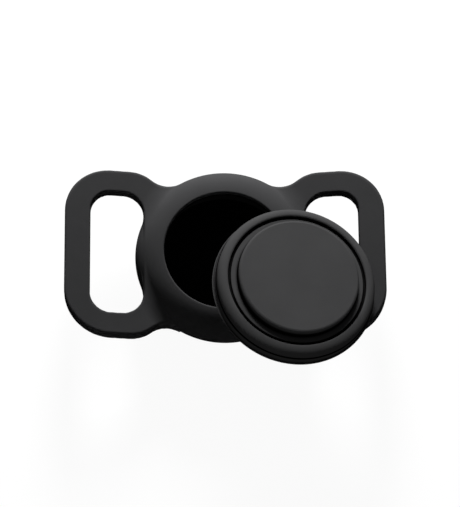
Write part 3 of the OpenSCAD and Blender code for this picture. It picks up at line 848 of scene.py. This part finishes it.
def capsule_plastic():
    """Matte black plastic with a fine grain, with painted shade at the parting, at the boss's foot and in
    grooves.
    """
    m = Shader("moulded_plastic", (0.054, 0.054, 0.055), 0.5, Specular_IOR_Level=0.0, IOR=1.46)
    m.tint(m.noise(12, 3), (0.051, 0.051, 0.052), (0.057, 0.057, 0.058))
    radius, height = m.about_capsule()
    # Painted shade along the parting line, running past the gap on each side.
    line = m.band_share(height, -PARTING_H - PARTING_GAP - PARTING_SHADE_OVER, -PARTING_H + PARTING_SHADE_OVER, PARTING_SHADE_FADE)
    # Painted shade round the foot of the boss, fading out up its side.
    foot = m.math("MULTIPLY", m.band_share(radius, BOSS_R - FOOT_SHADE_HALF_W, BOSS_R + FOOT_SHADE_HALF_W, FOOT_SHADE_FADE),
                  m.ramp(height, 1, 0, FOOT_SHADE_H * MM, (BOSS_H - BOSS_EDGE_R) * MM))
    # Painted shade: the base colour is darkened along the parting line, at the boss's foot and in narrow
    # grooves.
    m.paint_shade(m.math("MAXIMUM", m.math("MAXIMUM", line, foot), m.groove_shade_share()), GAP_SHADE)
    m.vary("Roughness", m.noise(4, 4), 0.46, 0.56)
    m.bump((m.noise(0.16, 2), 0.01), (m.noise(0.5, 2), 0.006))
    return m.material


def brushed_steel():
    """Steel with fine concentric polish marks about the capsule's axis."""
    m = Shader("polished_steel", (0.62, 0.63, 0.64), 0.22, Metallic=1.0)
    rings = m.node("ShaderNodeTexNoise", {"noise_dimensions": "1D"}, W=m.about_capsule()[0],
                   Scale=1 / (0.12 * MM), Detail=3.0)
    m.vary("Roughness", rings.outputs["Fac"], 0.16, 0.3)
    m.bump((rings.outputs["Fac"], 0.003))
    m.tint(m.noise(6, 3), (0.58, 0.59, 0.6), (0.66, 0.67, 0.68))
    return m.material


def plain(name, color, roughness, grain_mm, spread=0.12, relief=0.004, **sockets):
    """A moulded or metal finish with slight patches of tone, uneven gloss and fine relief."""
    m = Shader(name, color, roughness, **sockets)
    dark = tuple(c * (1 - spread) for c in color)
    light = tuple(min(1, c * (1 + spread)) for c in color)
    m.tint(m.noise(grain_mm * TONE_PATCH, 3), dark, light)
    m.vary("Roughness", m.noise(grain_mm * GLOSS_PATCH, 4),
           max(LEAST_ROUGHNESS, roughness - GLOSS_SPREAD), roughness + GLOSS_SPREAD)
    m.bump((m.noise(grain_mm, 3), relief))
    return m.material


FINISHES = {
    "silicone": silicone, "capsule_plastic": capsule_plastic, "steel": brushed_steel,
    "seal_rubber": lambda: plain("grey_rubber", (0.12, 0.12, 0.13), 0.6, 0.3, relief=0.01),
    "white_plastic": lambda: plain("white_gloss", (0.8, 0.8, 0.79), 0.18, 0.5, 0.015, 0.0008,
                                   Coat_Weight=0.4, Coat_Roughness=0.08),
    "inner_plastic": lambda: plain("pale_plastic", (0.68, 0.68, 0.66), 0.5, 0.3),
    "cell_steel": lambda: plain("cell_steel", (0.6, 0.61, 0.62), 0.28, 0.2, Metallic=1.0),
    "contact_metal": lambda: plain("plated_spring", (0.75, 0.6, 0.3), 0.25, 0.2, Metallic=1.0),
    "board": lambda: plain("solder_mask", (0.03, 0.16, 0.09), 0.35, 0.4, 0.2),
    "chip_plastic": lambda: plain("black_epoxy", (0.03, 0.03, 0.03), 0.55, 0.1, relief=0.006),
    "copper_wire": lambda: plain("enamelled_copper", (0.6, 0.3, 0.14), 0.3, 0.15, Metallic=1.0),
    "magnet": lambda: plain("plated_magnet", (0.5, 0.5, 0.52), 0.25, 0.3, Metallic=1.0),
}
finished = {name: make() for name, make in FINISHES.items()}
slots = {row["node"]: row["material_slot"] for row in frame["record"]["subparts"]}
for node, obj in frame["nodes"].items():
    shown = pieces.get(node, obj)
    shown.data.materials.clear()
    shown.data.materials.append(finished[slots[node]])

# Floor, world and lamps

WHITE = (1, 1, 1)
FLOOR_W = 4
FLOOR_PAINT = (0.8, 0.8, 0.8)  # takes the shadow
FLOOR_GLOW, GLOW_SHARE = 1.05, 0.9  # strength of the floor's own white, and its share
FLOOR_BOUNCE = (0.04, 0.04, 0.04)  # colour for the light that the floor throws back
SEEN_LIGHT, ROOM_LIGHT = 1.0, 0.09  # the world as it is seen, and as it lights the object
LAMP_W = 90 * MM
LAMP_TARGET = Vector((0, 0, 10 * MM))
LAMP_DISTANCE = 403 * MM


def through_paths(tree, seen, other):
    """Mix two shaders: one for the camera, gloss and glass, the other for the light that bounces."""
    path = tree.nodes.new("ShaderNodeLightPath")
    mix = tree.nodes.new("ShaderNodeMixShader")
    share = path.outputs["Is Camera Ray"]
    for name in ("Is Glossy Ray", "Is Transmission Ray"):
        most = tree.nodes.new("ShaderNodeMath")
        most.operation = "MAXIMUM"
        tree.links.new(share, most.inputs[0])
        tree.links.new(path.outputs[name], most.inputs[1])
        share = most.outputs[0]
    tree.links.new(share, mix.inputs[0])
    tree.links.new(other, mix.inputs[1])
    tree.links.new(seen, mix.inputs[2])
    return mix.outputs[0]


def shader_node(tree, kind, color, strength=None):
    """A new shader of one colour, and of a strength if it shines."""
    node = tree.nodes.new(kind)
    node.inputs["Color"].default_value = (*color, 1)
    if strength is not None:
        node.inputs["Strength"].default_value = strength
    return node.outputs[0]


def make_floor():
    """A plain white floor that keeps a faint shadow."""
    bpy.ops.mesh.primitive_plane_add(size=FLOOR_W, location=(0, 0, 0))
    floor = bpy.context.object
    floor.name = "floor"
    material = bpy.data.materials.new("floor")
    material.use_nodes = True
    tree = material.node_tree
    tree.nodes.remove(tree.nodes["Principled BSDF"])
    paint = shader_node(tree, "ShaderNodeBsdfDiffuse", FLOOR_PAINT)
    bounce = shader_node(tree, "ShaderNodeBsdfDiffuse", FLOOR_BOUNCE)
    bright = tree.nodes.new("ShaderNodeMixShader")
    bright.inputs[0].default_value = GLOW_SHARE
    tree.links.new(paint, bright.inputs[1])
    tree.links.new(shader_node(tree, "ShaderNodeEmission", WHITE, FLOOR_GLOW), bright.inputs[2])
    out = tree.nodes["Material Output"]
    tree.links.new(through_paths(tree, bright.outputs[0], bounce), out.inputs["Surface"])
    floor.data.materials.append(material)
    return floor


def make_world():
    """White all round where it is seen, and a weak even light on the object."""
    world = bpy.data.worlds.new("studio")
    scene.world = world
    world.use_nodes = True
    tree = world.node_tree
    tree.nodes.clear()
    seen = shader_node(tree, "ShaderNodeBackground", WHITE, SEEN_LIGHT)
    other = shader_node(tree, "ShaderNodeBackground", WHITE, ROOM_LIGHT)
    out = tree.nodes.new("ShaderNodeOutputWorld")
    tree.links.new(through_paths(tree, seen, other), out.inputs["Surface"])


def lit_group(name, objects):
    """A group of objects for lamps that light nothing else."""
    group = bpy.data.collections.new(name)
    for obj in objects:
        group.objects.link(obj)
    return group


def make_lamp(name, rise_deg, watts, lit=None):
    """A soft square lamp that lights one group or all. Its rise over the table is counted from the
    far side, so that a lamp over the near side has more than 90 degrees."""
    rise = np.radians(rise_deg)
    away = Vector((0, np.cos(rise), np.sin(rise)))
    lamp = bpy.data.lights.new(name, "AREA")
    lamp.size = LAMP_W
    lamp.energy = watts
    obj = bpy.data.objects.new(name, lamp)
    obj.location = LAMP_TARGET + away * LAMP_DISTANCE
    obj.rotation_mode = "QUATERNION"
    obj.rotation_quaternion = (-away).to_track_quat("-Z", "Y")
    obj.light_linking.receiver_collection = lit
    scene.collection.objects.link(obj)


make_world()
lower = [pieces["holder_body"], make_floor()]
upper = [o for o in scene.objects if o.type == "MESH" and o not in lower]
holder_lit, capsule_lit = lit_group("holder_lit", lower), lit_group("capsule_lit", upper)
make_lamp("holder_lamp", 18, 4.5, holder_lit)
make_lamp("capsule_low_lamp", 10, 1.85, capsule_lit)
make_lamp("capsule_high_lamp", 50, 1.4, capsule_lit)
make_lamp("near_lamp", 172, 0.12)
